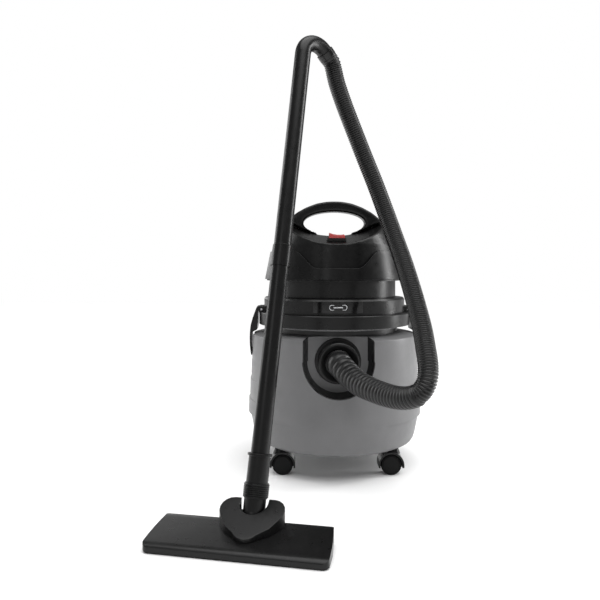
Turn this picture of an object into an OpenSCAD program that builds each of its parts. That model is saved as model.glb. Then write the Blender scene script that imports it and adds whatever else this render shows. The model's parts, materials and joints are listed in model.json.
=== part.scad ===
// Wet and dry drum vacuum cleaner: tank on casters, latched motor head, hose, wand and floor nozzle.
// Frame: +Z up, the front faces -Y, and the origin is on the floor under the axis of the tank.

/* [Tank] */
// Widest radius of the tank
tank_r = 177.5; // [175:0.5:180]
// Radius of the tank at its rim
rim_r = 172; // [171:0.5:173]
// Height of the tank's floor above the ground
tank_z = 50; // [50:0.5:51]
// Height of the flat lip that carries the head
lip_z = 273.5; // [273:0.5:274]
// Wall thickness of the tank
wall = 3; // [2.5:0.5:3.5]
// Radius of the opening that the filter goes through
mouth_r = 125; // [122:0.5:126]

/* [Front recess] */
// Distance from the axis to the flat wall of the recess
recess_y = 135; // [134:0.5:137]
// Radius of the round bottom of the recess, at the flat wall
recess_r = 60; // [58:0.5:62]
// Height of the inlet's axis
inlet_z = 227; // [225:0.5:229]
// Outer radius of the inlet stub
stub_r = 38; // [37:0.5:39]

/* [Casters] */
// Distance from the axis to a caster's axle, to the side
caster_x = 106; // [104:0.5:107]
// Distance from the axis to a caster, to the front and to the back
caster_y = 95; // [93:0.5:96]
// Distance from a caster's stem to its axle
trail = 5; // [4:0.5:6]
// Radius of a caster wheel
wheel_r = 20; // [19:0.5:20.5]

/* [Head] */
// Radius of the flange of the head
flange_r = 158; // [157:0.5:158.5]
// Radius of the collar above the flange
collar_r = 147.5; // [146.5:0.5:148]
// Radius of the neck that the air leaves through
neck_r = 129; // [127:0.5:130]
// Radius of the lower cover at its bottom edge
skirt_r = 146; // [145:0.5:147]
// Half thickness of the carry handle, front to back
handle_half = 17; // [15:0.5:18]
// Half width of the opening in the carry handle
grip_half_w = 65; // [60:1:66]
// Half height of the opening in the carry handle
grip_half_h = 24; // [22:0.5:25]

/* [Wand and hose] */
// Outer radius of the wand's tubes
tube_r = 14.4; // [14:0.1:15]
// Outer radius of the hose
hose_r = 16; // [15.5:0.1:16.2]
// Radius of the bend at the top of the handle tube
bend_r = 34; // [33:0.5:36]

/* [Floor nozzle] */
// Length of the nozzle
nozzle_w = 269; // [260:1:270]
// Depth of the nozzle, front to back
nozzle_d = 86; // [82:0.5:87]
// Height of the nozzle's body at its back edge
nozzle_h = 25; // [23:0.5:26]
// Half width of the heart-shaped neck cover
heart_half = 50; // [48:0.5:51]

/* [Hidden] */
$fn = 96;
running = 0.05;      // radial clearance of a shaft or stem that turns in its hole
seat_gap = 0.15;     // radial clearance of a pushed-in piece

// ---- tank ----
// Outside of the tank, from the floor up, as [radius, height]
tank_side = [
    [tank_r - 27.5, tank_z], [tank_r - 20.5, tank_z + 1.5], [tank_r - 15, tank_z + 4.5],
    [tank_r - 11.3, tank_z + 10], [tank_r - 8.5, tank_z + 20], [tank_r - 5, tank_z + 37],
    [tank_r - 2, tank_z + 54], [tank_r, tank_z + 70], [tank_r - 0.5, tank_z + 91],
    [tank_r - 3, tank_z + 132], [rim_r + 1, lip_z - 55], [rim_r, lip_z - 9.5],
    [rim_r - 1, lip_z - 6.5], [rim_r - 3.5, lip_z - 5.3], [140, lip_z]
];
tank_in = [for (p = tank_side) [p[0] - wall, min(max(p[1], tank_z + wall), lip_z - wall)]];
recess_splay = 15;   // widening of the recess from its flat wall to the outside
recess_deep = 43;
recess_drop = 5;     // the round bottom is this far under the inlet's axis at the flat wall
recess_tilt = 13;    // and rises towards the outside
latch_half = 24;     // half width of a latch
channel_r = 168.4;   // bottom of the channel that a latch's claw slides in
ledge_z = [235, 239];
grip_bands = [[105, 140, 3], [143, 180.5, 2.4], [183.5, 217, 1.8]];  // [from z, to z, proud]
grip_angle = 130;
grip_shift = 8.4;    // shift of the bands' axis to their side
stem_r = 4.45;
stem_top = tank_z + 24;

// ---- casters ----
CORNERS = [[-1, -1], [1, -1], [-1, 1], [1, 1]];
hood_r = wheel_r + 5;
hood_half = 15.5;
web_half = 2;
axle_r = 3;
wheel_in = 2.6;
wheel_out = 13;

// ---- head ----
base_z = 294;        // underside of the head's base
head_floor_z = 300;
collar_z = 345.5;    // top of the collar
neck_top = 381;
pivot_x = 152.3;
pivot_z = 318.3;
pin_r = 2;
eye_r = 22;          // hole between the filter and the fan
// Outside of the upper cover, as [radius, height]
dome = [
    [136.5, 384], [136, 400], [134.5, 418], [132.3, 438], [130, 450], [126, 460.5], [121, 471.5],
    [114, 484], [105.5, 497], [94, 509.5], [79, 521.5], [60, 532], [38, 540.5], [18, 544.3], [0, 545]
];
cover_wall = 3;
scoop_r = 210;       // radius of the hollow on top, left to right
scoop_z = 475.6;     // lowest line of the hollow, under the handle
scoop_tilt = 9.9;    // fall of the hollow towards the front and the back
grip_z = scoop_z + grip_half_h - 1;
// Upper edge of the lower cover, seen from the front: low in the middle and high at the sides
band_low = 403;
band_high = 438.5;

// ---- motor ----
shaft_r = 4;
shaft_z = [309, 430];
fan_r = 60;
rotor_r = 28.3;
stack_z = [354, 394];
bearing_z = [[342, 350], [416, 424]];
ball_r = 27;
ball_z = 235;

// ---- switch ----
switch_y = -92;
switch_half_w = 16;
switch_half_d = 10;
rocker_rest = 6;     // tilt of the rocker at rest

// ---- wand ----
knuckle = [-141.4, -376.9, 35];              // centre of the nozzle's joint
wand_dir = unit([0.0960, 0.2274, 0.9690]);
wand_len = 776.9;                            // from the knuckle to the bend
hose_dir = unit([0.31, 0.15, -0.94]);
bend_start = knuckle + wand_len * wand_dir;
bend_normal = unit(cross(wand_dir, hose_dir));
bend_side = cross(bend_normal, wand_dir);
bend_centre = bend_start + bend_r * bend_side;
bend_angle = 120;
cuff_dir = cos(bend_angle) * wand_dir + sin(bend_angle) * bend_side;
cuff_start = bend_centre + bend_r * (sin(bend_angle) * wand_dir - cos(bend_angle) * bend_side);
cuff_len = 12;
bend_draft = 0.12;                           // the bend is this much thinner than the straight tube
bend_lap = 0.03;
tube_in = tube_r - 1.9;
collar_t = [22.7, 44.4];                     // ribbed collar, along the wand
socket_t = [44.4, 87];
lower_t = [62, 405];
joint_t = [382.8, 417.8];                    // wide end of the handle tube
rib_count = 7;

// ---- hose ----
// Middle line of the hose, from the inlet to the handle
route = [
    [0, -171, 227], [0, -178, 227], [6, -188, 221.5], [13, -200, 214.5], [22, -216, 207.5],
    [32, -238, 202.5], [44.5, -262, 200], [62, -292, 197.5], [80, -322, 197.5], [96, -345, 201.5],
    [108.5, -360, 210], [117, -367, 223], [122, -366, 239], [124, -356, 258], [124, -340, 278],
    [124, -316, 304], [122, -286, 334], [118, -252, 370], [111, -218, 412], [100, -188, 458],
    [86, -166, 508], [69, -153, 560], [49, -146, 613], [29, -144, 665], [11, -144, 712],
    [-2, -144.5, 750], [-8.3, -146.6, 775], [-12.3, -150, 788.5], [-19.1, -155.1, 796.3]
];
hose_sides = 12;
boot_rings = 8;                              // the boot covers the route's first stretches
boot_clear = 0.3;
boot_fat = 7;                                // the boot is thickest at the inlet

// ---- nozzle ----
nozzle_turn = -11.2;
nozzle_shift = -8.5;
nozzle_back = 4;
sole_h = 2.5;
trunnion_r = 5;
heart_tip = -60;
heart_rear = 10.4;
heart_low = 22.5;    // height of the cover's top at its tip
heart_slope = 0.45;
slot_r = 21.5;
slot_v = 3;

// ---- shared shapes ----

module ring(r_out, r_in, z) {
    difference() {
        translate([0, 0, z[0]]) cylinder(r = r_out, h = z[1] - z[0]);
        translate([0, 0, z[0] - 1]) cylinder(r = r_in, h = z[1] - z[0] + 2);
    }
}

module block(lo, hi) {
    translate(lo) cube(hi - lo);
}

// A cylinder along Y, from y[0] to y[1]
module bar_y(r, x, z, y) {
    translate([x, y[1], z]) rotate([90, 0, 0]) cylinder(r = r, h = y[1] - y[0]);
}

// A revolved outline of [radius, distance] around a line through the inlet, distances towards +Y
module around_inlet(outline) {
    translate([0, 0, inlet_z]) rotate([-90, 0, 0]) rotate_extrude() polygon(outline);
}

// Closed tube swept along points: one ring at each point, square to the route there
function unit(v) = v / norm(v);
function tangent(p, i) = unit(p[min(i + 1, len(p) - 1)] - p[max(i - 1, 0)]);
function side_of(t) = unit(cross(t, [0.3, 0.2, 1]));
function ring_points(c, t, r) = [
    for (k = [0 : hose_sides - 1])
        let (a = 360 * k / hose_sides, s = side_of(t))
            c + r * (cos(a) * s + sin(a) * cross(t, s))
];
function quad(a, b, k) = let (m = (k + 1) % hose_sides) [a + k, a + m, b + m, b + k];

module swept_tube(p, radii) {
    n = len(p);
    rings = [for (i = [0 : n - 1]) each ring_points(p[i], tangent(p, i), radii[i])];
    walls = [
        for (i = [0 : n - 2], k = [0 : hose_sides - 1])
            quad(i * hose_sides, (i + 1) * hose_sides, k)
    ];
    polyhedron(points = rings, faces = concat(
        [for (f = walls) [f[3], f[2], f[1], f[0]]],
        [[for (k = [0 : hose_sides - 1]) k]],
        [[for (k = [hose_sides - 1 : -1 : 0]) (n - 1) * hose_sides + k]]
    ));
}

// ---- tank ----

module tank_outside() {
    rotate_extrude() polygon(concat([[0, tank_z]], tank_side, [[0, lip_z]]));
}

module tank_inside() {
    rotate_extrude() polygon(concat(
        [[0, tank_z + wall]], tank_in,
        [[mouth_r, lip_z - wall], [mouth_r, lip_z + 9], [0, lip_z + 9]]
    ));
}

// The front recess: a tilted cone around the inlet, open at the top; side and back make it larger
module recess(side, back) {
    far = recess_y + recess_deep;
    near = recess_y - back;
    lift = 1.2;
    r_near = recess_r + side - recess_splay * back / recess_deep;
    r_far = recess_r + side + recess_splay;
    intersection() {
        translate([0, -recess_y, inlet_z - recess_drop]) rotate([-90 - recess_tilt, 0, 0])
            translate([0, 0, -recess_deep - 20])
                cylinder(r1 = r_far + recess_splay * 20 / recess_deep, r2 = r_near - recess_splay * 20 / recess_deep,
                    h = recess_deep + 40 + back);
        block([-150, -far, 100], [150, -near, inlet_z + 0.5]);
    }
    translate([0, 0, inlet_z]) linear_extrude(height = 80) polygon([
        [lift - r_near, -near], [lift - r_far, -far], [r_far - lift, -far], [r_near - lift, -near]
    ]);
}

// One raised band of a side grip, on a shifted axis so that its ends run out into the tank
module grip_band(band, side) {
    a0 = side > 0 ? -grip_angle / 2 : 180 - grip_angle / 2;
    foot = tank_r - 8 - grip_shift;
    crest = tank_r + band[2] - 0.055 * abs((band[0] + band[1]) / 2 - 122) - 0.2 - grip_shift;
    translate([side * grip_shift, 0, 0]) rotate([0, 0, a0]) rotate_extrude(angle = grip_angle) polygon([
        [foot, band[0]], [crest, band[0] + 1.5], [crest - 0.8, band[1] - 5], [foot, band[1]]
    ]);
}

module latch_zone(r_in, z, half) {
    intersection() {
        ring(rim_r + 20, r_in, z);
        union() {
            block([150, -half, z[0] - 1], [200, half, z[1] + 1]);
            block([-200, -half, z[0] - 1], [-150, half, z[1] + 1]);
        }
    }
}

module tank_shell() {
    color([0.45, 0.45, 0.46]) difference() {
        union() {
            tank_outside();
            for (band = grip_bands, side = [-1, 1]) grip_band(band, side);
        }
        difference() {
            tank_inside();
            recess(wall, wall);
            latch_zone(channel_r - wall, [224, lip_z], latch_half + 6);
        }
        recess(0, 0);
        bar_y(stub_r - 8, 0, inlet_z, [-recess_y - 5, -recess_y + 10]);
        latch_zone(channel_r, [ledge_z[1], lip_z + 5], latch_half + 3);
        latch_zone(channel_r, [227.5, ledge_z[0]], latch_half + 3);
        for (c = CORNERS)
            translate([c[0] * (caster_x + trail), c[1] * caster_y, tank_z - 1])
                cylinder(r = stem_r + running, h = wall + 2);
    }
}

// Closed sleeves on the tank's floor that hold the stems of the casters
module caster_sockets() {
    color([0.3, 0.3, 0.31]) for (c = CORNERS)
        translate([c[0] * (caster_x + trail), c[1] * caster_y, 0]) difference() {
            translate([0, 0, tank_z + wall]) cylinder(r = 9, h = stem_top - tank_z);
            translate([0, 0, tank_z]) cylinder(r = stem_r + running, h = stem_top - tank_z + 0.5);
        }
}

// Thin black lining on the splayed side of the recess
module recess_liner() {
    color([0.03, 0.03, 0.03]) difference() {
        intersection() {
            recess(0, 0);
            tank_outside();
        }
        recess(-2, 0.5);
    }
}

module rim_seal() {
    color([0.03, 0.03, 0.03]) ring(mouth_r + 8, mouth_r, [lip_z, lip_z + 9.5]);
}

// ---- inlet and hose ----

module inlet_port() {
    color([0.05, 0.05, 0.05]) around_inlet([
        [25, -166], [33, -169], [stub_r - 2, -169.5], [stub_r, -168], [stub_r, -recess_y - 4],
        [44, -recess_y - 3.2], [44, -recess_y], [stub_r - 8.1, -recess_y], [stub_r - 8.1, -110],
        [25, -110]
    ]);
}

// Hood inside the tank that turns the incoming flow downwards
module inlet_deflector() {
    color([0.1, 0.1, 0.1]) difference() {
        around_inlet([[0, -84], [34, -84], [34, -128], [30.1, -128], [30.1, -87], [0, -87]]);
        block([-26, -112, inlet_z - 40], [26, -86, inlet_z - 12]);
    }
}

module inlet_cuff() {
    color([0.06, 0.06, 0.06]) around_inlet([
        [19.5, -118], [24.8, -118], [24.8, -164.5], [24.8, -169.7], [23.5, -170.7], [16.1, -170.7], [16.1, -168.5],
        [19.5, -167]
    ]);
}

boot_route = [for (i = [0 : boot_rings]) route[i]];
function boot_radius(i) = hose_r + 1.2 + boot_fat * pow(1 - i / boot_rings, 0.8);

// Thick ribbed sleeve around the hose where it leaves the inlet
module hose_boot() {
    color([0.07, 0.07, 0.07]) difference() {
        swept_tube(boot_route, [for (i = [0 : boot_rings]) boot_radius(i)]);
        swept_tube(boot_bore(boot_route), [for (i = [0 : boot_rings]) hose_r + boot_clear]);
    }
}

// The same route, a little longer at both ends, so that the bore cuts clean through
function boot_bore(p) = [
    for (i = [0 : len(p) - 1])
        p[i] + (i == 0 ? -2 * tangent(p, 0) : i == len(p) - 1 ? 2 * tangent(p, i) : [0, 0, 0])
];

module hose() {
    color([0.05, 0.05, 0.05]) swept_tube(route, [for (p = route) hose_r]);
}

module along(p, d) {
    translate(p) rotate([0, acos(d[2] / norm(d)), atan2(d[1], d[0])]) children();
}

module hose_cuff() {
    color([0.06, 0.06, 0.06]) along(cuff_start, cuff_dir)
        ring(hose_r + 0.3, tube_r - 1.6 + running, [0.3, cuff_len - 0.3]);
}

// ---- casters ----

module at_caster(c) {
    translate([c[0] * (caster_x + trail), c[1] * caster_y, 0]) rotate([0, 0, c[0] > 0 ? 180 : 0])
        children();
}

module caster_hood(c) {
    color([0.06, 0.06, 0.06]) at_caster(c) difference() {
        union() {
            difference() {
                bar_y(hood_r, trail, wheel_r, [-hood_half, hood_half]);
                bar_y(hood_r - 3.2, trail, wheel_r, [-hood_half - 1, hood_half + 1]);
                block([-40, -30, -10], [50, 30, wheel_r - 5]);
            }
            difference() {
                bar_y(hood_r - 3, trail, wheel_r, [-web_half, web_half]);
                block([-40, -30, -10], [50, 30, wheel_r - 6]);
            }
            translate([0, 0, wheel_r + 21]) cylinder(r1 = 14, r2 = 10.5, h = tank_z - wheel_r - 21.5);
            translate([0, 0, wheel_r + 22]) cylinder(r = stem_r, h = stem_top - wheel_r - 22);
        }
        bar_y(axle_r, trail, wheel_r, [-20, 20]);
        bar_y(wheel_r + 1.6, trail, wheel_r, [web_half, hood_half + 1]);
        bar_y(wheel_r + 1.6, trail, wheel_r, [-hood_half - 1, -web_half]);
    }
}

module caster_axle(c) {
    color([0.6, 0.6, 0.62]) at_caster(c) bar_y(axle_r, trail, wheel_r, [-11.4, 11.4]);
}

module caster_wheels(c) {
    bore = axle_r + running;
    color([0.04, 0.04, 0.04]) at_caster(c) for (s = [-1, 1])
        translate([trail, 0, wheel_r]) rotate([-90 * s, 0, 0]) rotate_extrude() polygon([
            [bore, wheel_in], [wheel_r - 1.2, wheel_in], [wheel_r, wheel_in + 1.2],
            [wheel_r, wheel_out - 2.2], [wheel_r - 1.4, wheel_out - 0.6], [wheel_r - 3, wheel_out - 1.4],
            [wheel_r - 4, wheel_out - 0.4], [0, wheel_out], [0, wheel_out - 1.2], [bore, wheel_out - 1.2]
        ]);
}

// ---- head: base ----

module head_base() {
    color([0.06, 0.06, 0.06]) difference() {
        union() {
            rotate_extrude() polygon([
                [eye_r, base_z + 2], [122, base_z + 2], [122, base_z], [flange_r - 3.5, base_z],
                [flange_r - 3.5, base_z - 6], [flange_r, base_z - 6], [flange_r, 311.5],
                [flange_r - 1.5, 313], [collar_r, 314.5], [collar_r, 340], [collar_r - 2.5, 343.5],
                [neck_r, collar_z], [neck_r - 3, collar_z], [neck_r - 3, 341.5], [collar_r - 6, 339.5],
                [collar_r - 3.5, 337.5], [collar_r - 3.5, 311.5], [flange_r - 3.5, 309.5],
                [flange_r - 3.5, head_floor_z], [eye_r, head_floor_z]
            ]);
            for (s = [-1, 1], t = [-1, 1])
                translate([s * 151, t * 26.9, 318]) cube([13, 4.2, 13], center = true);
        }
        for (s = [-1, 1]) {
            bar_y(6.3, s * pivot_x, pivot_z, [-latch_half - 0.7, latch_half + 0.7]);
            bar_y(pin_r, s * pivot_x, pivot_z, [-35, 35]);
        }
        for (a = [45 : 90 : 315]) rotate([0, 0, a]) translate([88, 0, base_z - 5]) cylinder(r = 2.2, h = 20);
    }
}

module head_seal() {
    color([0.5, 0.5, 0.5]) difference() {
        ring(138, 122.2, [lip_z + 9.8, base_z]);
        ring(129.5, 125.5, [lip_z + 9, lip_z + 10.8]);
    }
}

module label_plate() {
    color([0.02, 0.02, 0.02]) rotate([0, 0, -90 - 18.5]) rotate_extrude(angle = 37)
        translate([collar_r, 318]) square([1.1, 22]);
}

// Neck with a ring of slots that the air leaves through, hidden under the lower cover
module vent_neck() {
    color([0.05, 0.05, 0.05]) difference() {
        union() {
            ring(neck_r, neck_r - 3, [collar_z, neck_top + 3]);
            ring(skirt_r - 4, neck_r - 3, [neck_top - 2.5, neck_top]);
        }
        for (a = [0 : 10 : 350]) rotate([0, 0, a]) block([neck_r + 2, -6, neck_top - 5], [skirt_r - 6, 6, neck_top + 2]);
    }
}

// ---- head: covers ----

function dome_in(d) = [for (p = dome) [max(p[0] - d, 0), p[1] - (p[0] < 115 ? d : 0)]];

// Everything above the hollow on top of the head; drop lowers it
module scoop(drop) {
    translate([0, 0, scoop_z + scoop_r - drop]) {
        rotate([90, 0, 0]) cylinder(r = scoop_r, h = 400, center = true);
        for (s = [-1, 1]) translate([0, s * handle_half, scoop_r / cos(scoop_tilt) - scoop_r])
            rotate([90 + s * scoop_tilt, 0, 0]) cylinder(r = scoop_r, h = 500, center = true);
    }
}

// Upper edge of the lower cover, as an outline in X and Z that is cut away
band_cut = concat(
    [[-300, 600], [-300, band_high]],
    [for (i = [8 : -1 : 0]) [-39 - 5.8 * i, band_rise(i / 8)]],
    [for (i = [0 : 8]) [39 + 5.8 * i, band_rise(i / 8)]],
    [[300, band_high], [300, 600]]
);
function band_rise(t) = band_low + (band_high - band_low) * t * t * (3 - 2 * t);

module lower_cover() {
    color([0.06, 0.06, 0.06]) difference() {
        rotate_extrude() polygon([
            [skirt_r - 2.6, neck_top + 0.3], [skirt_r, neck_top + 0.3], [134.8, band_high], [132.5, band_high + 0.4],
            [135.5, 418], [137, 400], [137, 384], [neck_r + 0.5, 384], [neck_r + 0.5, neck_top + 1],
            [skirt_r - 2.6, neck_top + 0.9]
        ]);
        rotate([90, 0, 0]) linear_extrude(height = 400, center = true) polygon(band_cut);
        bar_y(20.3, 0, 410, [100, 160]);
        rotate([0, 0, -30]) bar_y(8.2, 0, 402, [100, 160]);
    }
}

module upper_cover() {
    color([0.07, 0.07, 0.07]) difference() {
        rotate_extrude() polygon(concat([[0, dome[0][1] + 0.5]], [[dome[0][0], dome[0][1] + 0.5]],
            [for (i = [1 : len(dome) - 1]) dome[i]]));
        scoop(0);
        difference() {
            rotate_extrude() polygon(concat([[0, 380]], [[dome[0][0] - cover_wall, 380]],
                [for (i = [1 : len(dome) - 1]) dome_in(cover_wall)[i]]));
            scoop(cover_wall);
        }
        at_switch() block([-switch_half_w - 2, -switch_half_d - 2, -20], [switch_half_w + 2, switch_half_d + 2, 10]);
        bar_y(20.3, 0, 410, [100, 160]);
        rotate([0, 0, -30]) bar_y(8.2, 0, 402, [100, 160]);
    }
}

// Arch over the middle of the head, with a rounded opening that the hand goes through
module carry_handle() {
    color([0.06, 0.06, 0.06]) difference() {
        intersection() {
            rotate_extrude() polygon(concat([[0, 440]], [for (i = [4 : len(dome) - 1]) dome[i]]));
            block([-150, -handle_half, 440], [150, handle_half, 560]);
            rotate([90, 0, 0]) translate([0, scoop_z + scoop_r, -100]) cylinder(r = scoop_r, h = 200);
        }
        translate([0, 0, grip_z]) rotate([90, 0, 0]) linear_extrude(height = 60, center = true) polygon([
            for (a = [0 : 7.5 : 352.5]) [grip_half_w * cos(a), grip_half_h * sin(a)]
        ]);
    }
}

// ---- head: switch ----

// Local frame on the front slope of the hollow, z square to the slope
module at_switch() {
    translate([0, switch_y, scoop_z + (switch_y + handle_half) * tan(scoop_tilt)])
        rotate([scoop_tilt, 0, 0]) children();
}

module switch_frame() {
    color([0.03, 0.03, 0.03]) at_switch() difference() {
        union() {
            block([-switch_half_w - 2.5, -switch_half_d - 2.5, 0.4], [switch_half_w + 2.5, switch_half_d + 2.5, 1.8]);
            block([-switch_half_w - 1.8, -switch_half_d - 1.8, -16], [switch_half_w + 1.8, switch_half_d + 1.8, 0.4]);
        }
        block([-switch_half_w - 0.4, -switch_half_d - 0.3, -14], [switch_half_w + 0.4, switch_half_d + 0.3, 5]);
        bar_y(1.55, 0, -2, [-switch_half_d - 1.2, switch_half_d + 1.2]);
    }
}

module power_rocker() {
    color([0.85, 0.08, 0.05]) at_switch() {
        translate([0, 0, -2]) rotate([0, rocker_rest, 0]) rotate([90, 0, 0])
            linear_extrude(height = 2 * switch_half_d, center = true) polygon([
                [-15.4, -3], [15.4, -3], [15.5, 9.5], [14.6, 10.4], [8, 8.8], [0, 8.2], [-8, 8.8], [-14.6, 10.4], [-15.5, 9.5]
            ]);
        bar_y(1.5, 0, -2, [-switch_half_d - 1, switch_half_d + 1]);
    }
}

// ---- head: motor and fan ----

module fan_housing() {
    color([0.55, 0.55, 0.57]) difference() {
        union() {
            ring(68, 65, [head_floor_z + 3, 342]);
            ring(68, eye_r, [head_floor_z + 3, head_floor_z + 5]);
            ring(68, 12, [339, 342]);
            ring(12, 9.05, [339, 350.5]);
            for (a = [45 : 90 : 315]) rotate([0, 0, a]) block([66, -6, head_floor_z + 3], [94, 6, head_floor_z + 6]);
        }
        for (a = [45 : 90 : 315]) rotate([0, 0, a]) translate([88, 0, 295]) cylinder(r = 2.2, h = 20);
        for (a = [0 : 30 : 330]) rotate([0, 0, a + 15]) block([30, -4, 337], [60, 4, 344]);
    }
}

module motor_seal() {
    color([0.1, 0.1, 0.1]) ring(66, 50, [head_floor_z, head_floor_z + 3]);
}

module motor_stator() {
    color([0.35, 0.35, 0.37]) {
        ring(46, rotor_r + 0.7, stack_z);
        for (s = [-1, 1]) translate([0, s * 37.5, 0]) {
            block([-18, -5, stack_z[0] - 8], [18, 5, stack_z[0]]);
            block([-18, -5, stack_z[1]], [18, 5, stack_z[1] + 8]);
        }
    }
}

module motor_bridge() {
    color([0.6, 0.6, 0.62]) difference() {
        union() {
            for (s = [-1, 1]) block([s > 0 ? 47 : -52, -9, 342], [s > 0 ? 52 : -47, 9, 424]);
            block([-52, -9, 419], [52, 9, 424]);
            ring(13, 9.05, [415, 424]);
        }
        translate([0, 0, 410]) cylinder(r = 9.05, h = 30);
    }
}

module motor_bearings() {
    color([0.7, 0.7, 0.72]) for (z = bearing_z) ring(9, shaft_r + running, z);
}

module brush_holders() {
    color([0.4, 0.28, 0.12]) for (s = [-1, 1])
        block([s > 0 ? 13.6 : -36, -5, 400], [s > 0 ? 36 : -13.6, 5, 409]);
}

module motor_rotor() {
    color([0.55, 0.35, 0.2]) {
        ring(rotor_r, shaft_r, stack_z);
        ring(13, shaft_r, [398, 411]);
    }
}

module motor_shaft() {
    color([0.7, 0.7, 0.72]) translate([0, 0, shaft_z[0]]) cylinder(r = shaft_r, h = shaft_z[1] - shaft_z[0]);
}

module fan_impeller() {
    color([0.7, 0.7, 0.7]) {
        ring(fan_r, shaft_r, [331, 333]);
        ring(fan_r, 26, [311, 313]);
        ring(9, shaft_r, [313, 331]);
        for (a = [0 : 45 : 315]) rotate([0, 0, a]) translate([0, 34, 313]) difference() {
            intersection() {
                cylinder(r = 30, h = 18);
                block([8, -32, 0], [40, 25, 18]);
            }
            translate([0, 0, -1]) cylinder(r = 28, h = 20);
        }
    }
}

// ---- head: float and filter ----

module float_cage() {
    color([0.12, 0.12, 0.12]) {
        ring(46, eye_r + 10, [base_z - 4, base_z + 2]);
        ring(36, 18, [204, 207.5]);
        for (a = [0 : 60 : 300]) rotate([0, 0, a]) block([30, -2.5, 204], [35.5, 2.5, base_z - 4]);
    }
}

module float_ball() {
    color([0.85, 0.85, 0.82]) translate([0, 0, ball_z]) sphere(r = ball_r);
}

module filter_sleeve() {
    color([0.82, 0.82, 0.78]) difference() {
        ring(64, 0.001, [150, base_z + 2]);
        translate([0, 0, 154]) cylinder(r = 58, h = 160);
    }
}

module filter_clamp() {
    color([0.12, 0.12, 0.12]) ring(67.5, 64, [281, 291]);
}

// ---- head: back and fasteners ----

module blower_port() {
    color([0.05, 0.05, 0.05]) difference() {
        union() {
            bar_y(20, 0, 410, [118, 160]);
            bar_y(23.5, 0, 410, [146.2, 149.8]);
        }
        bar_y(17.5, 0, 410, [115, 165]);
    }
}

module cable_gland() {
    color([0.05, 0.05, 0.05]) rotate([0, 0, -30]) difference() {
        union() {
            bar_y(8, 0, 402, [128, 156]);
            bar_y(10.5, 0, 402, [145.4, 148.8]);
        }
        bar_y(4, 0, 402, [126, 160]);
    }
}

module head_screws() {
    color([0.7, 0.7, 0.72]) for (a = [45 : 90 : 315]) rotate([0, 0, a]) translate([88, 0, 0]) {
        translate([0, 0, base_z - 1]) cylinder(r = 4, h = 3);
        translate([0, 0, base_z + 2]) cylinder(r = 2.1, h = 13);
    }
}

// ---- latches ----

// Side view of the right latch, as [x, z]
latch_side = [
    [pivot_x - 3, 323], [157, 324.3], [162, 323.6], [166, 314], [171, 300], [175, 286], [176.6, 272],
    [177.1, 258], [176.8, 243], [175.4, 230], [174.4, 221], [173.5, 222], [173.4, 229], [169.2, 230.2],
    [169.2, 233.4], [173.4, 234.4], [173.4, 268.5], [170, 271.5], [162.5, 275], [160.6, 286],
    [160.4, 313.9], [155, 314.8]
];

module latch(side) {
    color([0.05, 0.05, 0.05]) mirror([side > 0 ? 0 : 1, 0, 0]) difference() {
        union() {
            rotate([90, 0, 0]) linear_extrude(height = 2 * latch_half, center = true) polygon(latch_side);
            bar_y(5.8, pivot_x, pivot_z, [-latch_half, latch_half]);
        }
        bar_y(pin_r + running, pivot_x, pivot_z, [-40, 40]);
    }
}

module latch_pins() {
    color([0.7, 0.7, 0.72]) for (s = [-1, 1]) bar_y(pin_r, s * pivot_x, pivot_z, [-28.8, 28.8]);
}

// ---- wand ----

module on_wand() {
    along(knuckle, wand_dir) children();
}

module handle_tube() {
    spigot = tube_r - 1.6;
    color([0.08, 0.08, 0.08]) {
        on_wand() rotate_extrude() polygon([
            [tube_r + seat_gap, joint_t[0]], [tube_r + 1.35, joint_t[0]], [tube_r + 1.35, joint_t[1]],
            [tube_r, joint_t[1] + 1], [tube_r, wand_len + bend_lap], [tube_in, wand_len + bend_lap],
            [tube_in, lower_t[1] + 1], [tube_r + seat_gap, lower_t[1] + 1]
        ]);
        bend_frame() rotate_extrude(angle = bend_angle) translate([bend_r, 0]) difference() {
            circle(r = tube_r - bend_draft);
            circle(r = tube_in + bend_draft);
        }
        along(cuff_start, cuff_dir) ring(spigot, tube_in - 1, [-bend_lap, cuff_len - 1]);
    }
}

// Frame of the bend: X from the centre to its start, Y along the wand
module bend_frame() {
    x = -bend_side;
    y = wand_dir;
    z = bend_normal;
    c = bend_centre;
    multmatrix([[x[0], y[0], z[0], c[0]], [x[1], y[1], z[1], c[1]], [x[2], y[2], z[2], c[2]], [0, 0, 0, 1]])
        children();
}

module lower_tube() {
    color([0.08, 0.08, 0.08]) on_wand() ring(tube_r, tube_in, lower_t);
}

module nozzle_socket() {
    top = socket_t[1];
    color([0.07, 0.07, 0.07]) on_wand() rotate_extrude() polygon([
        [14.2, socket_t[0]], [16.75, socket_t[0]], [16.75, top - 4], [19, top - 3.4], [19, top],
        [tube_r + seat_gap, top], [tube_r + seat_gap, lower_t[0] - 0.5], [12.6, lower_t[0] - 1],
        [12.6, socket_t[0] + 6], [14.2, socket_t[0] + 5]
    ]);
}

module swivel_collar() {
    pitch = (collar_t[1] - collar_t[0] - 2) / rib_count;
    ribs = [
        for (i = [0 : rib_count - 1], k = [0 : 3])
            let (z = collar_t[0] + 1 + i * pitch)
                [k == 1 || k == 2 ? 19.5 : 18.2, z + pitch * [0.05, 0.2, 0.7, 0.85][k]]
    ];
    color([0.06, 0.06, 0.06]) on_wand() rotate_extrude() polygon(concat(
        [[13 + running, collar_t[0]], [18.2, collar_t[0]]], ribs,
        [[18.2, collar_t[1]], [14.2, collar_t[1]], [14.2, 40], [13 + running, 40]]
    ));
}

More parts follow.
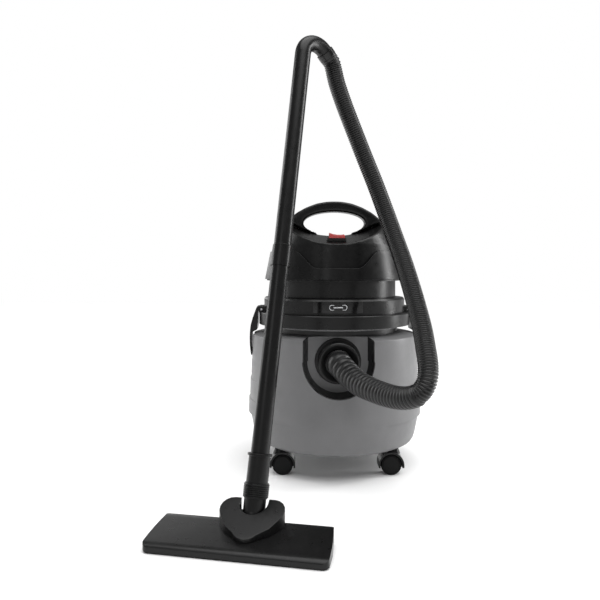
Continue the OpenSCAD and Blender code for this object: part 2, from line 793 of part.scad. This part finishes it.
module nozzle_neck() {
    color([0.07, 0.07, 0.07]) difference() {
        union() {
            translate(knuckle) sphere(r = 17.5);
            on_wand() {
                translate([0, 0, 3]) cylinder(r = 16.8, h = collar_t[0] - 3.3);
                translate([0, 0, 20]) cylinder(r = 13, h = 20.2);
                translate([0, 0, 40.3]) cylinder(r = 13.8, h = 1.9);
                translate([0, 0, 40]) cylinder(r = 13, h = 0.5);
            }
            translate(knuckle) rotate([0, 0, nozzle_turn]) rotate([0, 90, 0])
                cylinder(r = trunnion_r, h = 58, center = true);
        }
        on_wand() translate([0, 0, -40]) cylinder(r = 11, h = 100);
    }
}

// ---- floor nozzle: local frame under the knuckle, X along the nozzle, Y to the back ----

module on_nozzle() {
    translate([knuckle[0], knuckle[1], 0]) rotate([0, 0, nozzle_turn]) children();
}

// Bowed outline of the nozzle seen from above; inset makes it smaller
function nozzle_outline(inset) =
    let (h = nozzle_w / 2 - inset, b = nozzle_back - inset, f = nozzle_back - nozzle_d + inset, r = 9)
    concat(
        [for (a = [180 : 15 : 270]) [-h + r + r * cos(a), f + r + r * sin(a)]],
        [for (a = [270 : 15 : 360]) [h - r + r * cos(a), f + r + r * sin(a)]],
        [for (i = [0 : 4]) [h + 1.2 * sin(45 * i) - 1.1 * i, f + r + 6 + i * (nozzle_d - 2 * inset - 24) / 4]],
        [for (a = [20 : 20 : 80]) [h - 9 + 5 * cos(a), b - 7 + 5 * sin(a)]],
        [for (i = [-3 : 3]) [-i * (h - 16) / 3.4, b - 0.22 * i * i]],
        [for (a = [100 : 20 : 160]) [-h + 9 + 5 * cos(a), b - 7 + 5 * sin(a)]],
        [for (i = [4 : -1 : 0]) [-h - 1.2 * sin(45 * i) + 1.1 * i, f + r + 6 + i * (nozzle_d - 2 * inset - 24) / 4]]
    );

front = nozzle_back - nozzle_d;
// Side view of the nozzle's body: upright lip, round edge, then a slope up to the back
nozzle_side = [
    [front, sole_h], [front, 8], [front + 0.5, 9.9], [front + 1.6, 11.5], [front + 3.4, 12.8],
    [front + 6, 13.8], [front + 10, 14.8], [nozzle_back - 12, 24.2], [nozzle_back - 6, nozzle_h - 0.2],
    [nozzle_back - 2, nozzle_h - 0.6], [nozzle_back, nozzle_h - 3], [nozzle_back, sole_h]
];

module along_x(outline, half) {
    rotate([90, 0, 90]) linear_extrude(height = 2 * half, center = true) polygon(outline);
}

module nozzle_body() {
    color([0.07, 0.07, 0.07]) on_nozzle() difference() {
        union() {
            translate([nozzle_shift, 0, 0]) difference() {
                intersection() {
                    linear_extrude(height = 60) polygon(nozzle_outline(0));
                    along_x(nozzle_side, nozzle_w);
                }
                block([-nozzle_w / 2 + 12, front + 5, sole_h - 1], [nozzle_w / 2 - 12, nozzle_back - 6, 10.5]);
            }
            for (s = [-1, 1]) translate([s * 26.5, 0, 0]) {
                translate([0, 0, knuckle[2]]) rotate([0, 90, 0]) cylinder(r = 7.6, h = 5, center = true);
                block([-2.5, -7.6, 12], [2.5, 3.5, knuckle[2]]);
            }
        }
        translate([0, 0, knuckle[2]]) {
            rotate([0, 90, 0]) cylinder(r = trunnion_r + running, h = 80, center = true);
            rotate([0, 90, 0]) cylinder(r = 18.4, h = 40, center = true);
        }
        translate([0, -10, 2]) cylinder(r = 12, h = 30);
        for (s = [-1, 1], v = [front + 18, nozzle_back - 14])
            translate([nozzle_shift + s * 95, v, 0]) cylinder(r = 1.5, h = 13);
    }
}

module sole_plate() {
    color([0.05, 0.05, 0.05]) on_nozzle() translate([nozzle_shift, 0, 0]) difference() {
        linear_extrude(height = sole_h) polygon(nozzle_outline(2));
        block([-100, front + 32, -1], [100, front + 44, 5]);
        for (s = [-1, 1]) block([s > 0 ? 4 : -118, front + 10, -1], [s > 0 ? 118 : -4, front + 15, 5]);
        for (s = [-1, 1], v = [front + 18, nozzle_back - 14])
            translate([s * 95, v, -1]) cylinder(r = 3.1, h = 5);
    }
}

module nozzle_brushes() {
    color([0.12, 0.12, 0.12]) on_nozzle() translate([nozzle_shift, 0, 0]) for (s = [-1, 1])
        block([s > 0 ? 4.2 : -117.8, front + 10.2, 0.3], [s > 0 ? 117.8 : -4.2, front + 14.8, 10.2]);
}

module nozzle_screws() {
    color([0.7, 0.7, 0.72]) on_nozzle() translate([nozzle_shift, 0, 0])
        for (s = [-1, 1], v = [front + 18, nozzle_back - 14]) translate([s * 95, v, 0]) {
            translate([0, 0, 0.6]) cylinder(r = 3, h = 1.9);
            translate([0, 0, 2.5]) cylinder(r = 1.45, h = 9.5);
        }
}

// Outline of the heart seen from above: two lobes behind, a rounded tip in front
function heart(inset) =
    let (w = heart_half - inset, tip = heart_tip + inset, rear = heart_rear - inset)
    concat(
        [for (a = [-145 : 15.714 : -34]) [22 * cos(a), tip + 22 + 22 * sin(a)]],
        [[w * 0.67, tip + 20.5], [w * 0.87, tip + 35]],
        [for (a = [-20 : 22 : 90]) [w - 19 + 19 * cos(a), rear - 19 + 19 * sin(a)]],
        [for (a = [90 : 22 : 200]) [-w + 19 + 19 * cos(a), rear - 19 + 19 * sin(a)]],
        [[-w * 0.87, tip + 35], [-w * 0.67, tip + 20.5]]
    );

// Everything below the sloping top of the heart; drop lowers it
module under_slope(drop) {
    along_x([
        [heart_tip - 30, -20], [heart_tip - 30, heart_low - 30 * heart_slope - drop],
        [heart_rear + 20, heart_low + (heart_rear + 20 - heart_tip) * heart_slope - drop],
        [heart_rear + 20, -20]
    ], 80);
}

module neck_cover() {
    color([0.07, 0.07, 0.07]) on_nozzle() difference() {
        intersection() {
            translate([0, 0, 5]) linear_extrude(height = 60) polygon(heart(0));
            under_slope(0);
        }
        intersection() {
            translate([0, 0, -1]) linear_extrude(height = 70) polygon(heart(2.6));
            under_slope(2.8);
        }
        translate([0, slot_v, 0]) cylinder(r = slot_r, h = 80);
        block([-slot_r, slot_v, 0], [slot_r, 60, 80]);
        translate([nozzle_shift, 0, 0]) along_x(concat(nozzle_side, [[nozzle_back, -5], [front, -5]]), nozzle_w);
    }
}

tank_shell();
recess_liner();
rim_seal();
inlet_port();
caster_sockets();
inlet_deflector();
inlet_cuff();
hose_boot();
hose();
hose_cuff();
caster_hood(CORNERS[0]);  // caster_hood_fl
caster_hood(CORNERS[1]);  // caster_hood_fr
caster_hood(CORNERS[2]);  // caster_hood_rl
caster_hood(CORNERS[3]);  // caster_hood_rr
caster_wheels(CORNERS[0]);  // caster_wheels_fl
caster_wheels(CORNERS[1]);  // caster_wheels_fr
caster_wheels(CORNERS[2]);  // caster_wheels_rl
caster_wheels(CORNERS[3]);  // caster_wheels_rr
caster_axle(CORNERS[0]);  // caster_axle_fl
caster_axle(CORNERS[1]);  // caster_axle_fr
caster_axle(CORNERS[2]);  // caster_axle_rl
caster_axle(CORNERS[3]);  // caster_axle_rr
head_base();
head_seal();
vent_neck();
lower_cover();
upper_cover();
carry_handle();
switch_frame();
power_rocker();
label_plate();
fan_housing();
motor_seal();
motor_stator();
motor_bridge();
motor_bearings();
brush_holders();
motor_rotor();
motor_shaft();
fan_impeller();
float_cage();
float_ball();
filter_sleeve();
filter_clamp();
blower_port();
cable_gland();
head_screws();
latch(-1);  // latch_left
latch(1);  // latch_right
latch_pins();
handle_tube();
lower_tube();
nozzle_socket();
swivel_collar();
nozzle_neck();
neck_cover();
nozzle_body();
sole_plate();
nozzle_brushes();
nozzle_screws();
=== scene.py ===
import json
import math

import bmesh
import bpy
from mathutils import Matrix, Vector


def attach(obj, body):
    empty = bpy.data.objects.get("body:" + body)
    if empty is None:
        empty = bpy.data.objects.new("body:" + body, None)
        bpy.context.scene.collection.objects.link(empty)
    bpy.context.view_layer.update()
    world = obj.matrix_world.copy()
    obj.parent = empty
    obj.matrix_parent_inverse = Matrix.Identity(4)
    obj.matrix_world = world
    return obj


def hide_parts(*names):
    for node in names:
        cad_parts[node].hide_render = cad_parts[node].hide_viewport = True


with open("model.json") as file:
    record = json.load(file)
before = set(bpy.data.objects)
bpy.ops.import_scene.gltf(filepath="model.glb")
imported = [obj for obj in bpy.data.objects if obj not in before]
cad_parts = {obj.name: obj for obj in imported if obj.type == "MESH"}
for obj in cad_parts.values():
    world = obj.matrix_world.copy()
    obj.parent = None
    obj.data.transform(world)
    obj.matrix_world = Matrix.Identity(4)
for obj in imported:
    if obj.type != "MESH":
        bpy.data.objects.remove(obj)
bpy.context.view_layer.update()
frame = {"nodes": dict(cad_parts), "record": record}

MM = 0.001

# ---- camera ----

CAMERA_AT = (-0.072, -1.276, 0.400)
CAMERA_LENS = 36
CAMERA_SENSOR = 36
CAMERA_SHIFT = -0.05


def make_camera():
    data = bpy.data.cameras.new("camera")
    data.sensor_width = CAMERA_SENSOR
    data.lens = CAMERA_LENS
    data.shift_y = CAMERA_SHIFT
    obj = bpy.data.objects.new("camera", data)
    obj.location = CAMERA_AT
    obj.rotation_euler = (math.pi / 2, 0, 0)
    bpy.context.scene.collection.objects.link(obj)
    bpy.context.scene.camera = obj


# ---- materials ----


# Span of a noise that is spread over its two ends
NOISE_LOW = 0.3
NOISE_HIGH = 0.7
COAT_ROUGHNESS = 0.12


class Shader:
    """One Principled material whose nodes are added in short calls."""

    def __init__(self, name):
        self.material = bpy.data.materials.new(name)
        self.material.use_nodes = True
        self.tree = self.material.node_tree
        self.bsdf = self.tree.nodes["Principled BSDF"]
        self.coords = self.tree.nodes.new("ShaderNodeTexCoord").outputs["Object"]

    def node(self, kind, **inputs):
        made = self.tree.nodes.new(kind)
        for key, value in inputs.items():
            made.inputs[key.replace("_", " ")].default_value = value
        return made

    def link(self, source, target):
        self.tree.links.new(source, target)

    def stretched(self, stretch):
        mapping = self.node("ShaderNodeMapping")
        mapping.inputs["Scale"].default_value = stretch
        self.link(self.coords, mapping.inputs["Vector"])
        return mapping.outputs["Vector"]

    def noise(self, scale, detail=2.0, vector=None):
        made = self.node("ShaderNodeTexNoise", Scale=scale, Detail=detail)
        self.link(vector or self.coords, made.inputs["Vector"])
        return made.outputs["Fac"]

    def spread(self, source, low, high):
        """The middle of a noise spread over low to high."""
        made = self.tree.nodes.new("ShaderNodeMapRange")
        made.inputs["From Min"].default_value = NOISE_LOW
        made.inputs["From Max"].default_value = NOISE_HIGH
        made.inputs["To Min"].default_value = low
        made.inputs["To Max"].default_value = high
        self.link(source, made.inputs["Value"])
        return made.outputs["Result"]

    def two_tone(self, source, dark, light):
        made = self.tree.nodes.new("ShaderNodeMix")
        made.data_type = "RGBA"
        made.inputs[6].default_value = (*dark, 1)
        made.inputs[7].default_value = (*light, 1)
        self.link(self.spread(source, 0, 1), made.inputs["Factor"])
        self.link(made.outputs[2], self.bsdf.inputs["Base Color"])

    def bump(self, source, height, below=None):
        made = self.node("ShaderNodeBump", Strength=1.0, Distance=height)
        self.link(source, made.inputs["Height"])
        if below:
            self.link(below, made.inputs["Normal"])
        return made.outputs["Normal"]


def grey(value):
    return (value, value, value * 1.02)


def make_plastic(name, tone, rough, grain=2600, height=0.03, coat=0.0, even=0.06, shine=0.5):
    """Moulded plastic or rubber: fine grain, faint waviness, slightly uneven tone and gloss."""
    s = Shader(name)
    dark = tuple(c * (1 - even) for c in tone)
    light = tuple(c * (1 + even) for c in tone)
    s.two_tone(s.noise(38, 4), dark, light)
    s.link(s.spread(s.noise(85, 3), rough - 0.035, rough + 0.045), s.bsdf.inputs["Roughness"])
    wave = s.bump(s.noise(26, 1), 0.10 * MM)
    s.link(s.bump(s.noise(grain, 2), height * MM, wave), s.bsdf.inputs["Normal"])
    s.bsdf.inputs["Specular IOR Level"].default_value = shine
    s.bsdf.inputs["Coat Weight"].default_value = coat
    s.bsdf.inputs["Coat Roughness"].default_value = COAT_ROUGHNESS
    return s.material


def make_metal(name, tone, rough, stretch=(1, 1, 14)):
    """Drawn or turned metal with fine streaks."""
    s = Shader(name)
    streaks = s.noise(420, 3, s.stretched(stretch))
    s.two_tone(streaks, tuple(c * 0.8 for c in tone), tone)
    s.link(s.spread(streaks, rough - 0.06, rough + 0.08), s.bsdf.inputs["Roughness"])
    s.link(s.bump(streaks, 0.02 * MM), s.bsdf.inputs["Normal"])
    s.bsdf.inputs["Metallic"].default_value = 1.0
    return s.material


def make_cloth(name, tone):
    """Pleated filter cloth: upright pleats with a felt surface."""
    s = Shader(name)
    pleats = s.node("ShaderNodeTexWave", Scale=48.0, Distortion=0.3)
    s.link(s.coords, pleats.inputs["Vector"])
    s.two_tone(s.noise(320, 4), tuple(c * 0.8 for c in tone), tone)
    folds = s.bump(pleats.outputs["Fac"], 1.2 * MM)
    s.link(s.bump(s.noise(1800, 3), 0.15 * MM, folds), s.bsdf.inputs["Normal"])
    s.link(s.spread(s.noise(200), 0.85, 0.98), s.bsdf.inputs["Roughness"])
    return s.material


def make_bristle(name, tone):
    """Rows of upright bristles."""
    s = Shader(name)
    hairs = s.noise(900, 2, s.stretched((1, 1, 0.05)))
    s.two_tone(hairs, tuple(c * 0.4 for c in tone), tone)
    s.link(s.bump(hairs, 0.4 * MM), s.bsdf.inputs["Normal"])
    s.link(s.spread(hairs, 0.6, 0.8), s.bsdf.inputs["Roughness"])
    return s.material


def make_materials():
    return {
        "tank_grey": make_plastic("tank_grey", grey(0.148), 0.40, 2200, 0.04, even=0.04),
        "black_satin": make_plastic("black_satin", grey(0.0040), 0.30, 2600, 0.022, shine=0.3),
        "black_gloss": make_plastic("black_gloss", grey(0.003), 0.14, 1500, 0.005, coat=0.2, shine=0.35),
        "seal_grey": make_plastic("seal_grey", grey(0.22), 0.62, 1500, 0.05),
        "black_rubber": make_plastic("black_rubber", grey(0.007), 0.34, 1900, 0.015, shine=0.4),
        "hose_black": make_plastic("hose_black", grey(0.003), 0.27, 2400, 0.012, shine=0.4),
        "wheel_black": make_plastic("wheel_black", grey(0.004), 0.40, 1900, 0.03, shine=0.15),
        "red_switch": make_plastic("red_switch", (0.62, 0.012, 0.008), 0.26, 1800, 0.012, coat=0.4),
        "steel": make_metal("steel", (0.62, 0.62, 0.64), 0.3),
        "motor_metal": make_metal("motor_metal", (0.42, 0.42, 0.44), 0.42, (1, 1, 6)),
        "copper": make_metal("copper", (0.72, 0.36, 0.2), 0.32, (1, 1, 20)),
        "brass": make_metal("brass", (0.7, 0.5, 0.2), 0.35),
        "filter_cloth": make_cloth("filter_cloth", (0.66, 0.65, 0.6)),
        "white_float": make_plastic("white_float", (0.66, 0.66, 0.62), 0.4, 1200, 0.03),
        "bristle": make_bristle("bristle", (0.05, 0.05, 0.05)),
        "mark_pale": make_plastic("mark_pale", (0.62, 0.63, 0.65), 0.35, 1500, 0.01),
    }


# ---- mesh helpers ----


def add_piece(name, mesh, material, body, replaced=()):
    data = bpy.data.meshes.new(name)
    bmesh.ops.recalc_face_normals(mesh, faces=mesh.faces)
    mesh.to_mesh(data)
    mesh.free()
    data.polygons.foreach_set("use_smooth", [True] * len(data.polygons))
    data.materials.append(materials[material])
    obj = bpy.data.objects.new(name, data)
    bpy.context.scene.collection.objects.link(obj)
    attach(obj, body)
    if replaced:
        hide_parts(*replaced)
    return obj


def smooth_curve(points, per_span):
    """Curve through the points, with per_span samples in each stretch."""
    ends = [2 * points[0] - points[1]] + points + [2 * points[-1] - points[-2]]
    curve = []
    for i in range(1, len(ends) - 2):
        a, b, c, d = ends[i - 1:i + 3]
        for k in range(per_span):
            t = k / per_span
            bend = (2 * a - 5 * b + 4 * c - d) * t * t + (3 * b - a - 3 * c + d) * t ** 3
            curve.append(0.5 * (2 * b + (c - a) * t + bend))
    curve.append(points[-1])
    return curve


def curve_length(curve):
    return sum((b - a).length for a, b in zip(curve, curve[1:]))


def walk(curve, distances):
    """Points at rising distances along a curve."""
    found = []
    i = 0
    done = 0.0
    for distance in distances:
        step = (curve[i + 1] - curve[i]).length
        while done + step < distance and i < len(curve) - 2:
            done += step
            i += 1
            step = (curve[i + 1] - curve[i]).length
        found.append(curve[i].lerp(curve[i + 1], min(1.0, (distance - done) / step)))
    return found


def sweep(centres, radii, sides):
    """Closed tube through the centres, with its own radius at each."""
    mesh = bmesh.new()
    side = Vector((1, 0, 0))
    rings = []
    for i, centre in enumerate(centres):
        ahead = centres[min(i + 1, len(centres) - 1)] - centres[max(i - 1, 0)]
        along = ahead.normalized()
        side = (side - along * side.dot(along)).normalized()
        up = along.cross(side)
        ring = []
        for k in range(sides):
            a = 2 * math.pi * k / sides
            ring.append(mesh.verts.new(centre + radii[i] * (math.cos(a) * side + math.sin(a) * up)))
        rings.append(ring)
    for low, high in zip(rings, rings[1:]):
        bridge(mesh, low, high)
    mesh.faces.new(rings[0])
    mesh.faces.new(rings[-1])
    return mesh


def bridge(mesh, low, high):
    for k in range(len(low)):
        m = (k + 1) % len(low)
        mesh.faces.new((low[k], low[m], high[m], high[k]))


# ---- hose ----

# The hose's centre line from the inlet to the cuff on the handle
HOSE_ROUTE_MM = [
    (0, -171, 227), (0, -178, 227), (6, -188, 221.5), (13, -200, 214.5), (22, -216, 207.5),
    (32, -238, 202.5), (44.5, -262, 200), (62, -292, 197.5), (80, -322, 197.5), (96, -345, 201.5),
    (108.5, -360, 210), (117, -367, 223), (122, -366, 239), (124, -356, 258), (124, -340, 278),
    (124, -316, 304), (122, -286, 334), (118, -252, 370), (111, -218, 412), (100, -188, 458),
    (86, -166, 508), (69, -153, 560), (49, -146, 613), (29, -144, 665), (11, -144, 712),
    (-2, -144.5, 750), (-8.3, -146.6, 775), (-12.3, -150, 788.5), (-19.1, -155.1, 796.3),
]
HOSE_RADIUS = 16 * MM
# How far the hose reaches into the face of its cuff
HOSE_LAP = 1.0 * MM
RIB_PITCH = 4.1 * MM
RIB_DEPTH = 1.9 * MM
# Cross-section of one rib, as (share of the pitch, share of the depth below the crest)
RIB = ((0.0, 1.0), (0.14, 0.85), (0.30, 0.18), (0.48, 0.0), (0.66, 0.0), (0.84, 0.3))
HOSE_SIDES = 32
# Samples of the route's curve in each stretch between two of its points
SPAN_SAMPLES = 24
# Stretches of the route that the boot covers
BOOT_SPANS = 10
BOOT_SIDES = 40
# How far the boot's last ring lies below the hose's crest
BOOT_END_SINK = 0.5 * MM
# Crest radius, pitch and groove depth, each as (at the inlet, at the far end)
BOOT_CREST = (23.6 * MM, 17.4 * MM)
BOOT_PITCH = (15.0 * MM, 5.6 * MM)
BOOT_DEPTH = (4.2 * MM, 2.9 * MM)
BOOT_RIB = ((0.0, 1.0), (0.10, 0.9), (0.20, 0.15), (0.34, 0.0), (0.80, 0.0), (0.93, 0.2))
# How quickly the pitch and the crest fall off along the boot: 1 is even, less is quicker at first
PITCH_FALL = 0.7
CREST_FALL = 0.9


def make_hose():
    route = [Vector(p) * MM for p in HOSE_ROUTE_MM]
    curve = smooth_curve(route, SPAN_SAMPLES)
    total = curve_length(curve)
    distances = []
    radii = []
    for i in range(int(total / RIB_PITCH)):
        for share, depth in RIB:
            distances.append((i + share) * RIB_PITCH)
            radii.append(HOSE_RADIUS - depth * RIB_DEPTH)
    last = curve[-1] - curve[-2]
    centres = walk(curve, distances) + [curve[-1], curve[-1] + last.normalized() * HOSE_LAP]
    radii += [HOSE_RADIUS, HOSE_RADIUS]
    hose = add_piece(
        "ribbed_hose", sweep(centres, radii, HOSE_SIDES), "hose_black", "tank",
        replaced=["hose"],
    )
    boot = make_boot(curve, curve_length(curve[:BOOT_SPANS * SPAN_SAMPLES + 1]))


def between(ends, part):
    return ends[0] + (ends[1] - ends[0]) * part


def make_boot(curve, length):
    """Tapered sleeve of thick ribs, which get thinner and closer away from the inlet."""
    distances = []
    radii = []
    at = 0.0
    while at < length:
        part = at / length
        pitch = between(BOOT_PITCH, part ** PITCH_FALL)
        crest = between(BOOT_CREST, part ** CREST_FALL)
        deep = between(BOOT_DEPTH, part)
        for share, depth in BOOT_RIB:
            if at + share * pitch < length:
                distances.append(at + share * pitch)
                radii.append(crest - depth * deep)
        at += pitch
    distances.append(length)
    radii.append(HOSE_RADIUS - BOOT_END_SINK)
    return add_piece(
        "ribbed_boot", sweep(walk(curve, distances), radii, BOOT_SIDES), "black_rubber", "tank",
        replaced=["hose_boot"],
    )


# ---- CAD nodes that stay ----

# Width of the rounded edges of the nodes that show, in millimetres
EDGES = {
    "tank_shell": 0.4, "recess_liner": 0.3, "rim_seal": 0.3, "inlet_port": 0.5, "inlet_cuff": 0.5,
    "caster_hood_fl": 0.4, "caster_hood_fr": 0.4, "caster_hood_rl": 0.4, "caster_hood_rr": 0.4,
    "caster_wheels_fl": 0.3, "caster_wheels_fr": 0.3, "caster_wheels_rl": 0.3, "caster_wheels_rr": 0.3,
    "head_base": 0.6, "vent_neck": 0.3, "lower_cover": 1.1, "switch_frame": 0.4, "power_rocker": 0.5,
    "label_plate": 0.3, "blower_port": 0.5, "cable_gland": 0.4, "latch_left": 0.5, "latch_right": 0.5,
    "handle_tube": 0.3, "lower_tube": 0.2, "nozzle_socket": 0.4, "swivel_collar": 0.2,
    "nozzle_neck": 0.4, "neck_cover": 0.7, "nozzle_body": 0.7, "sole_plate": 0.4, "hose_cuff": 0.3,
}
SMOOTH_ANGLE = math.radians(32)
WELD_GAP = 0.01 * MM


def dress_nodes():
    slots = {part["node"]: part["material_slot"] for part in frame["record"]["subparts"]}
    for name, obj in frame["nodes"].items():
        data = obj.data
        if "custom_normal" in data.attributes:
            data.attributes.remove(data.attributes["custom_normal"])
        data.polygons.foreach_set("use_smooth", [True] * len(data.polygons))
        data.materials.clear()
        data.materials.append(materials[slots[name]])
        weld = obj.modifiers.new("weld", "WELD")
        weld.merge_threshold = WELD_GAP
        if name in EDGES:
            round_edges(obj, EDGES[name] * MM)
        else:
            split = obj.modifiers.new("split", "EDGE_SPLIT")
            split.split_angle = SMOOTH_ANGLE


def round_edges(obj, width):
    bevel = obj.modifiers.new("edges", "BEVEL")
    bevel.width = width
    bevel.segments = 2
    bevel.limit_method = "ANGLE"
    bevel.angle_limit = SMOOTH_ANGLE
    bevel.use_clamp_overlap = True
    weight = obj.modifiers.new("normals", "WEIGHTED_NORMAL")
    weight.keep_sharp = False


# ---- top of the head ----

VOXEL = 1.8 * MM
SOFTEN_PASSES = 5
# The handle is rounded further: half its width, the height where it starts and the way to full rounding
HANDLE_PASSES = 36
HANDLE_HALF = 24 * MM
HANDLE_FOOT = 480 * MM
HANDLE_BLEND = 14 * MM


def add_smooth(obj, name, passes):
    smooth = obj.modifiers.new(name, "SMOOTH")
    smooth.factor = 0.5
    smooth.iterations = passes
    return smooth


def joined_nodes(names):
    """One mesh of several CAD nodes."""
    mesh = bmesh.new()
    for name in names:
        mesh.from_mesh(frame["nodes"][name].data)
    bmesh.ops.remove_doubles(mesh, verts=mesh.verts, dist=WELD_GAP)
    data = bpy.data.meshes.new("rough_dome")
    mesh.to_mesh(data)
    mesh.free()
    return data


def as_one_skin(data):
    """The mesh rebuilt as one closed skin with soft edges."""
    maker = bpy.data.objects.new("rough_dome", data)
    bpy.context.scene.collection.objects.link(maker)
    voxels = maker.modifiers.new("voxels", "REMESH")
    voxels.mode = "VOXEL"
    voxels.voxel_size = VOXEL
    add_smooth(maker, "soften", SOFTEN_PASSES)
    graph = bpy.context.evaluated_depsgraph_get()
    mesh = bmesh.new()
    mesh.from_mesh(maker.evaluated_get(graph).to_mesh())
    bpy.data.objects.remove(maker)
    return mesh


def handle_weight(point):
    """How much of the extra rounding a point of the head's top gets: all of it on the handle."""
    if abs(point.y) > HANDLE_HALF:
        return 0.0
    return min(1.0, max(0.0, (point.z - HANDLE_FOOT) / HANDLE_BLEND))


def round_handle(dome):
    group = dome.vertex_groups.new(name="handle")
    for vertex in dome.data.vertices:
        weight = handle_weight(vertex.co)
        if weight > 0:
            group.add([vertex.index], weight, "REPLACE")
    add_smooth(dome, "handle", HANDLE_PASSES).vertex_group = "handle"


def make_dome():
    """Upper cover and carry handle as one moulding with rounded edges."""
    names = ["upper_cover", "carry_handle"]
    skin = as_one_skin(joined_nodes(names))
    dome = add_piece("head_dome", skin, "black_satin", "head", replaced=names)
    round_handle(dome)


# ---- label ----

COLLAR_RADIUS = 148.5 * MM
MARK_HEIGHT = 329 * MM
MARK_RAISED = 0.4 * MM
# Half width, half height and corner radius of the mark's three outlines
FRAME_OUTER = (17 * MM, 5.2 * MM, 5.0 * MM)
FRAME_INNER = (15.9 * MM, 4.1 * MM, 4.0 * MM)
BAR = (9 * MM, 1.1 * MM, 1.0 * MM)
OUTLINE_POINTS = 32


def on_collar(across, up, out):
    """Point on the label plate: across and up from its middle, out from its face."""
    a = across / COLLAR_RADIUS
    r = COLLAR_RADIUS + out
    return Vector((r * math.sin(a), -r * math.cos(a), MARK_HEIGHT + up))


def plate_outline(mesh, shape, out):
    half_w, half_h, corner = shape
    points = []
    for k in range(OUTLINE_POINTS):
        a = 2 * math.pi * (k + 0.5) / OUTLINE_POINTS
        cx = (half_w - corner) * (1 if math.cos(a) > 0 else -1)
        cy = (half_h - corner) * (1 if math.sin(a) > 0 else -1)
        place = on_collar(cx + corner * math.cos(a), cy + corner * math.sin(a), out)
        points.append(mesh.verts.new(place))
    return points


def make_mark():
    """Generic mark on the label plate: a thin rounded frame with a bar in it."""
    mesh = bmesh.new()
    frames = [
        plate_outline(mesh, FRAME_OUTER, 0),
        plate_outline(mesh, FRAME_OUTER, MARK_RAISED),
        plate_outline(mesh, FRAME_INNER, MARK_RAISED),
        plate_outline(mesh, FRAME_INNER, 0),
    ]
    for low, high in zip(frames, frames[1:] + frames[:1]):
        bridge(mesh, low, high)
    bar = [plate_outline(mesh, BAR, 0), plate_outline(mesh, BAR, MARK_RAISED)]
    bridge(mesh, *bar)
    mesh.faces.new(bar[1])
    mesh.faces.new(bar[0])
    add_piece("label_mark", mesh, "mark_pale", "head")


# ---- stage and light ----

FLOOR_HALF = 6.0
# Brightness of the surroundings as the camera sees them, and as they light the object
BACKDROP = 1.0
AMBIENT = 0.24
SKY_ENERGY = 3.0
SKY_ANGLE = math.radians(70)
SKY_TILT = (math.radians(12), math.radians(8), 0)


def make_stage():
    mesh = bmesh.new()
    half = FLOOR_HALF
    corners = [(-half, -half), (half, -half), (half, half), (-half, half)]
    mesh.faces.new([mesh.verts.new((x, y, 0)) for x, y in corners])
    data = bpy.data.meshes.new("floor")
    mesh.to_mesh(data)
    mesh.free()
    s = Shader("floor")
    s.two_tone(s.noise(3, 2), (0.92, 0.92, 0.92), (0.94, 0.94, 0.94))
    s.bsdf.inputs["Roughness"].default_value = 0.7
    data.materials.append(s.material)
    floor = bpy.data.objects.new("floor", data)
    bpy.context.scene.collection.objects.link(floor)


def make_world():
    world = bpy.data.worlds.new("world")
    bpy.context.scene.world = world
    world.use_nodes = True
    tree = world.node_tree
    seen = tree.nodes["Background"]
    seen.inputs["Color"].default_value = (1, 1, 1, 1)
    seen.inputs["Strength"].default_value = BACKDROP
    lit = tree.nodes.new("ShaderNodeBackground")
    lit.inputs["Color"].default_value = (1, 1, 1, 1)
    lit.inputs["Strength"].default_value = AMBIENT
    path = tree.nodes.new("ShaderNodeLightPath")
    mix = tree.nodes.new("ShaderNodeMixShader")
    tree.links.new(path.outputs["Is Camera Ray"], mix.inputs[0])
    tree.links.new(lit.outputs[0], mix.inputs[1])
    tree.links.new(seen.outputs[0], mix.inputs[2])
    tree.links.new(mix.outputs[0], tree.nodes["World Output"].inputs["Surface"])


def add_panel(name, place, target, size, power):
    """Light panel of a width and a height, aimed at a point."""
    data = bpy.data.lights.new(name, "AREA")
    data.shape = "RECTANGLE"
    data.size = size[0]
    data.size_y = size[1]
    data.energy = power
    obj = bpy.data.objects.new(name, data)
    obj.location = place
    aim = Vector(target) - Vector(place)
    obj.rotation_euler = aim.to_track_quat("-Z", "Y").to_euler()
    bpy.context.scene.collection.objects.link(obj)


def make_sky():
    """Wide soft light from above."""
    sky = bpy.data.lights.new("sky", "SUN")
    sky.energy = SKY_ENERGY
    sky.angle = SKY_ANGLE
    obj = bpy.data.objects.new("sky", sky)
    obj.rotation_euler = SKY_TILT
    bpy.context.scene.collection.objects.link(obj)


def make_light():
    make_world()
    add_panel("key_right", (1.45, 0.15, 0.85), (0, 0, 0.35), (0.35, 1.4), 15)
    add_panel("back_left", (-1.1, 1.4, 0.95), (-0.2, -0.4, 0.1), (1.3, 1.0), 6)
    add_panel("rim_left", (-1.5, 0.5, 0.9), (0, 0, 0.4), (0.5, 1.4), 9)
    add_panel("front_fill", (-0.9, -2.2, 1.2), (0, 0, 0.3), (0.9, 0.9), 3.5)
    make_sky()
    bpy.context.scene.view_settings.view_transform = "Standard"


make_camera()
materials = make_materials()
make_hose()
dress_nodes()
make_dome()
make_mark()
make_stage()
make_light()
